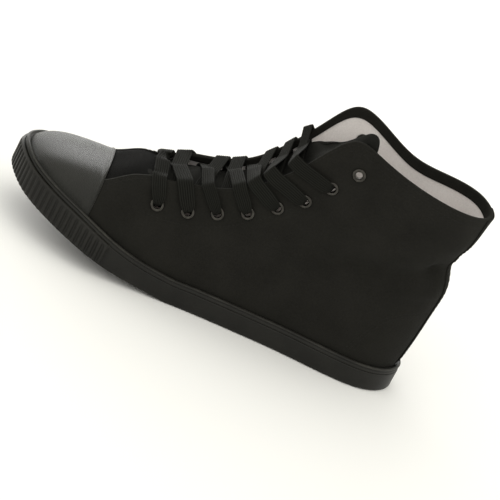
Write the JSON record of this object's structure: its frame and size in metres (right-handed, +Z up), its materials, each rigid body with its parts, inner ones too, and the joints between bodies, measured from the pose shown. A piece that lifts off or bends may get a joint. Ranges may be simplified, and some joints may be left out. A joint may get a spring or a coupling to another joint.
{
  "type": "high top sneaker",
  "caption": "Black canvas high top sneaker with a rubber toe cap, a ribbed toe bumper, a flat rubber sole and flat laces through metal eyelets.",
  "frame": {"origin": "on the floor under the middle of the sole's length, on the flat of the outsole", "axes": "-X towards the toe, +X towards the heel, -Y towards the outer side of this left shoe, +Z up"},
  "size_m": [0.2997, 0.1065, 0.157],
  "materials": {
    "outsole_rubber": "matte dark grey rubber",
    "foxing_rubber": "satin black rubber",
    "toe_bumper_rubber": "satin black ribbed rubber",
    "toe_cap_rubber": "satin dark grey rubber with a fine cross-hatch",
    "insole_lining": "pale cloth",
    "upper_canvas": "matte black canvas, pale inside",
    "tongue_canvas": "matte black canvas",
    "eyelet_metal": "dull dark metal",
    "lace_weave": "flat woven dark grey lace"
  },
  "bodies": {
    "root": {"outsole": "outsole_rubber", "foxing": "foxing_rubber", "toe_bumper": "toe_bumper_rubber", "insole": "insole_lining", "upper": "upper_canvas", "toe_cap": "toe_cap_rubber", "tongue": "tongue_canvas", "eyelet_lateral_1": "eyelet_metal", "eyelet_lateral_2": "eyelet_metal", "eyelet_lateral_3": "eyelet_metal", "eyelet_lateral_4": "eyelet_metal", "eyelet_lateral_5": "eyelet_metal", "eyelet_lateral_6": "eyelet_metal", "eyelet_lateral_7": "eyelet_metal", "eyelet_lateral_8": "eyelet_metal", "eyelet_medial_1": "eyelet_metal", "eyelet_medial_2": "eyelet_metal", "eyelet_medial_3": "eyelet_metal", "eyelet_medial_4": "eyelet_metal", "eyelet_medial_5": "eyelet_metal", "eyelet_medial_6": "eyelet_metal", "eyelet_medial_7": "eyelet_metal", "eyelet_medial_8": "eyelet_metal", "lace_bar_1": "lace_weave", "lace_cross_2": "lace_weave", "lace_cross_3": "lace_weave", "lace_cross_4": "lace_weave", "lace_cross_5": "lace_weave", "lace_cross_6": "lace_weave", "lace_cross_7": "lace_weave"}
  },
  "joints": []
}
